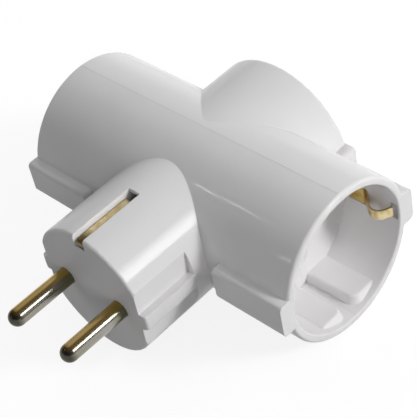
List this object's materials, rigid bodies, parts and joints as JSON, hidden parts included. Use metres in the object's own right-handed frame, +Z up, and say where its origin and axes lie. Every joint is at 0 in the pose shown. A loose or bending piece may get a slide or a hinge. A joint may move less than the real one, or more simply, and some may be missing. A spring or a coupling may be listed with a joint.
{
  "type": "multi socket adapter",
  "caption": "Earthed round-pin adapter: a plug on the front of a barrel, a recessed socket at each end of the barrel and another behind the plug.",
  "frame": {"origin": "centre of the plug's face, midway between the pins", "axes": "-Y along the pins, out of the plug; +X along the barrel to the right-hand socket; +Z up, across the pins' plane"},
  "size_m": [0.089, 0.09, 0.0436],
  "materials": {
    "shell": "white gloss moulding",
    "pin": "bright nickel plate",
    "brass": "rolled strip, unplated",
    "steel": "zinc plate"
  },
  "bodies": {
    "root": {"front_shell": "shell", "back_shell": "shell", "line_pin": "pin", "neutral_pin": "pin", "plug_earth_bracket": "brass", "earth_strap": "brass", "back_earth_link": "brass", "line_busbar": "brass", "neutral_busbar": "brass", "housing_screw": "steel", "right_earth_clip": "brass", "right_line_contact": "brass", "right_line_rivet": "brass", "right_neutral_contact": "brass", "right_neutral_rivet": "brass", "left_earth_clip": "brass", "left_line_contact": "brass", "left_line_rivet": "brass", "left_neutral_contact": "brass", "left_neutral_rivet": "brass", "back_earth_clip": "brass", "back_line_contact": "brass", "back_line_rivet": "brass", "back_neutral_contact": "brass", "back_neutral_rivet": "brass"}
  },
  "joints": []
}
